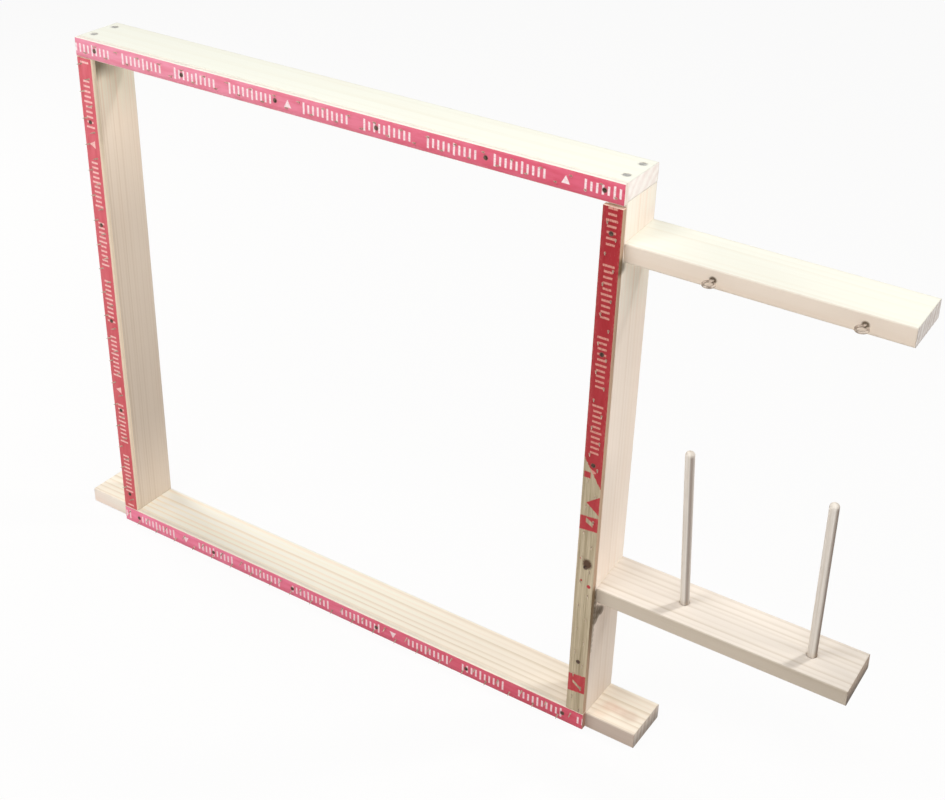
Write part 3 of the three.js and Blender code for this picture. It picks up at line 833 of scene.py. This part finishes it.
def wire(shape, path, radii, sides, matrix):
    """A round wire along a planar path of (x, y) points, with closed ends."""
    rings = []
    for i, point in enumerate(path):
        before, after = path[max(0, i - 1)], path[min(len(path) - 1, i + 1)]
        along = (Vector(after) - Vector(before)).normalized()
        across = Vector((-along.y, along.x))
        ring = []
        for k in range(sides):
            angle = 2 * math.pi * k / sides
            at = Vector(point) + across * radii[i] * math.cos(angle)
            ring.append(shape.verts.new(matrix @ Vector((at.x, at.y, radii[i] * math.sin(angle)))))
        rings.append(ring)
    tube(shape, rings)


def blended(points, per_span):
    """A smooth path through points, with evenly cut spans."""
    out = []
    ends = [points[0]] + points + [points[-1]]
    for a, b, c, d in zip(ends, ends[1:], ends[2:], ends[3:]):
        for k in range(per_span):
            t = k / per_span
            out.append(tuple(
                0.5 * (2 * q + (r - p) * t + (2 * p - 5 * q + 4 * r - s) * t * t
                       + (3 * q - p - 3 * r + s) * t ** 3)
                for p, q, r, s in zip(a, b, c, d)))
    return out + [points[-1]]


def eye_path():
    """The thread eye's wire: a pointed, threaded shank along +Y to y = 0, a neck and an open ring."""
    shank_spans, ring_spans, per_span = 4, 20, 5
    points = [(0, -EYE_SHANK + EYE_SHANK * k / shank_spans) for k in range(shank_spans + 1)]
    for k in range(ring_spans + 1):
        angle = math.radians(-55 + 290 * k / ring_spans)
        points.append((EYE_RING * math.cos(angle), EYE_NECK + EYE_RING + EYE_RING * math.sin(angle)))
    path = blended(points, per_span)
    radii = [min(EYE_WIRE, 0.3 + (y + EYE_SHANK) * 0.35) for _, y in path]
    for k in range(1, shank_spans * per_span - 2, 2):
        radii[k] *= 0.86
    return path, radii


path, radii = eye_path()
for label, station in EYE_STATIONS.items():
    neck = Vector((station, -BOARD_DEPTH / 2, EYE_FROM_UNDERSIDE - BOARD_THICKNESS / 2)) * MM
    place = arm_place @ Matrix.Translation(neck) @ Matrix.Rotation(math.pi, 4, "Z") @ Matrix.Scale(MM, 4)
    mesh = mesh_of(f"{label}_eye_wire", lambda s: wire(s, path, radii, 20, place), 60)
    piece = new_object(f"{label}_eye_wire", mesh, eye_zinc)
    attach(piece, "frame")
    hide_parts(f"{label}_thread_eye")


# Floor, light and camera


def floor_material():
    g = Graph("pale_floor", specular=0.0)
    x, y, z = g.axes()
    speck = g.noise(g.vector(x * 3, y * 3, z), detail=3.0)
    colour = g.mix(speck, srgb(222, 215, 208), srgb(228, 222, 216))
    g.finish(colour, 0.9, g.bump(speck, 0.0001, 0.1))
    glow = g.node("ShaderNodeEmission", {"Color": (1, 1, 1, 1), "Strength": 1.0})
    rays = g.node("ShaderNodeLightPath", {})
    glossy, through = [Term(g, rays.outputs[f"Is {kind} Ray"]) * 0.6 for kind in ("Glossy", "Transmission")]
    direct = Term(g, rays.outputs["Is Camera Ray"]) * 0.94
    seen = g.math("MAXIMUM", direct, g.math("MAXIMUM", glossy, through))
    blend = g.node("ShaderNodeMixShader", {0: seen, 1: g.shader.outputs[0], 2: glow.outputs[0]})
    output = next(n for n in g.tree.nodes if n.type == "OUTPUT_MATERIAL")
    g.tree.links.new(blend.outputs[0], output.inputs["Surface"])
    return g.material


def add_floor():
    radius, sides = 9, 96

    def build(shape):
        centre = shape.verts.new((0, 0, 0))
        angles = [2 * math.pi * i / sides for i in range(sides)]
        ring = [shape.verts.new((radius * math.cos(a), radius * math.sin(a), 0)) for a in angles]
        for i in range(sides):
            shape.faces.new((centre, ring[i], ring[(i + 1) % sides]))

    floor = new_object("floor", mesh_of("floor", build), floor_material())
    # A hair under the base board, so that no two faces lie in one plane
    floor.location = (0.1, 0, -0.0002)


def aim_lamp(name, data, place, target):
    lamp = bpy.data.objects.new(name, data)
    bpy.context.scene.collection.objects.link(lamp)
    lamp.location = place
    lamp.rotation_mode = "QUATERNION"
    lamp.rotation_quaternion = (Vector(place) - Vector(target)).to_track_quat("Z", "Y")
    return lamp


def add_lamp(name, place, target, size, power):
    data = bpy.data.lights.new(name, "AREA")
    data.shape, data.size, data.energy = "DISK", size, power
    aim_lamp(name, data, place, target)


def add_spot(name, place, target, radius, cone, narrowing, power):
    """A lamp with a flat cone, as wide as the shelf is long, which throws the dowels' shadows across it."""
    data = bpy.data.lights.new(name, "SPOT")
    data.shadow_soft_size, data.spot_size, data.spot_blend, data.energy = radius, cone, 0.5, power
    lamp = aim_lamp(name, data, place, target)
    back = (Vector(place) - Vector(target)).normalized()
    wide = (Vector((1, 0, 0)) - back * back.x).normalized()
    lamp.rotation_quaternion = Matrix((wide, back.cross(wide), back)).transposed().to_quaternion()
    lamp.scale = (1.0, narrowing, 1.0)


def add_world():
    world = bpy.data.worlds.new("studio")
    bpy.context.scene.world = world
    world.use_nodes = True
    tree = world.node_tree
    tree.nodes.clear()
    rays = tree.nodes.new("ShaderNodeLightPath")
    soft, white = [tree.nodes.new("ShaderNodeBackground") for _ in range(2)]
    for light, strength in ((soft, 0.18), (white, 1.0)):
        light.inputs["Color"].default_value = (1, 1, 1, 1)
        light.inputs["Strength"].default_value = strength
    blend = tree.nodes.new("ShaderNodeMixShader")
    output = tree.nodes.new("ShaderNodeOutputWorld")
    tree.links.new(rays.outputs["Is Camera Ray"], blend.inputs[0])
    tree.links.new(soft.outputs[0], blend.inputs[1])
    tree.links.new(white.outputs[0], blend.inputs[2])
    tree.links.new(blend.outputs[0], output.inputs["Surface"])


def add_camera():
    """The photograph's camera: its place, its own axes, its lens and its shift."""
    place = (0.91167, -1.17645, 1.19871)
    right, up = (0.838080, 0.544916, 0.026236), (-0.289525, 0.403500, 0.867965)
    back = (0.462382, -0.735020, 0.495932)
    data = bpy.data.cameras.new("photo_view")
    data.sensor_fit, data.sensor_width, data.lens = "AUTO", 36, 57.636
    data.shift_x, data.shift_y = -0.0045, -0.0457
    data.clip_start, data.clip_end = 0.05, 50
    camera = bpy.data.objects.new("photo_view", data)
    camera.matrix_world = Matrix.Translation(place) @ Matrix((right, up, back)).transposed().to_4x4()
    bpy.context.scene.collection.objects.link(camera)
    bpy.context.scene.camera = camera


add_floor()
add_world()
add_lamp("key", (1.45, 1.20, 2.70), (0.05, 0, 0.35), 0.3, 22)
add_lamp("left", (-2.0, 0.3, 1.2), (0, 0, 0.3), 0.8, 24)
add_lamp("right", (2.1, 0.0, 1.3), (0.3, 0, 0.4), 0.7, 11)
add_lamp("over_left", (-0.1, -0.75, 1.5), (-0.1, 0, 0.3), 0.6, 7)
add_lamp("over_right", (0.75, -0.60, 1.45), (0.45, 0, 0.3), 0.6, 4.5)
add_lamp("low", (-1.1, -1.0, 0.5), (0, 0, 0.2), 0.5, 4.5)
add_lamp("front", (0.5, -1.3, 0.35), (0.15, 0, 0.1), 0.5, 1.1)
add_lamp("under_right", (1.6, -0.35, 0.35), (0.35, 0, 0.5), 0.5, 2.0)
add_spot("shelf_spot", (1.24, 1.10, 2.10), (0.50, 0, 0.20), 0.08, math.radians(9.5), 0.38, 52)
add_camera()
bpy.context.scene.view_settings.view_transform = "Standard"

bpy.context.view_layer.update()
